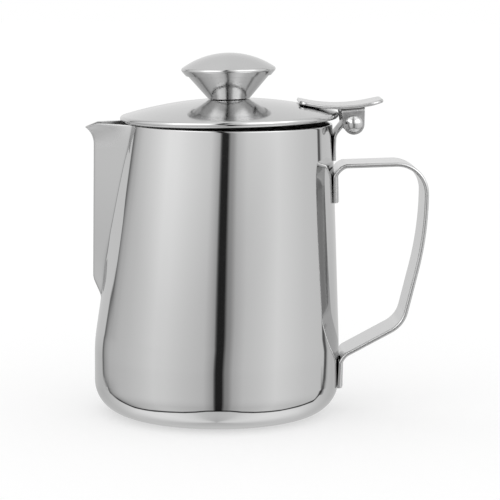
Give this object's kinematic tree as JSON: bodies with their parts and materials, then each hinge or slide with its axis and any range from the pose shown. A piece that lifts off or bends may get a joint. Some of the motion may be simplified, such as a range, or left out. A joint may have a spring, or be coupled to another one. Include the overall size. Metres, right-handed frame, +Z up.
{
  "type": "hot milk jug with lid",
  "caption": "Polished steel hot milk jug with a pressed V spout, a bent strap handle and a domed lid that a thumb lever lifts on a riveted hinge.",
  "frame": {"origin": "centre of the round base, on the surface that the jug stands on", "axes": "+Z up, +X from the body's axis towards the handle and hinge, -X towards the spout, +Y across, with the jug the same on both sides of Y = 0"},
  "size_m": [0.114, 0.082, 0.12],
  "materials": {
    "polished_steel": "mirror-polished stainless steel sheet",
    "strap_steel": "polished stainless steel strap with tumbled edges",
    "hinge_steel": "bright stainless steel, tumbled",
    "fastener_steel": "plain turned stainless steel"
  },
  "bodies": {
    "jug": {"jug_body": "polished_steel", "handle": "strap_steel", "hinge_bracket": "hinge_steel"},
    "lid": {"lid": "polished_steel", "thumb_lever": "strap_steel", "hinge_clevis": "hinge_steel", "hinge_rivet": "hinge_steel", "knob_cone": "polished_steel", "knob_cap": "polished_steel", "knob_nut": "fastener_steel", "knob_washer": "fastener_steel", "knob_screw": "fastener_steel"}
  },
  "joints": [
    {"name": "lid_hinge", "type": "hinge", "parent": "jug", "child": "lid", "pos_m": [0.04455, 0, 0.0972], "axis": [0, 1, 0], "range_deg": [0, 105]}
  ]
}
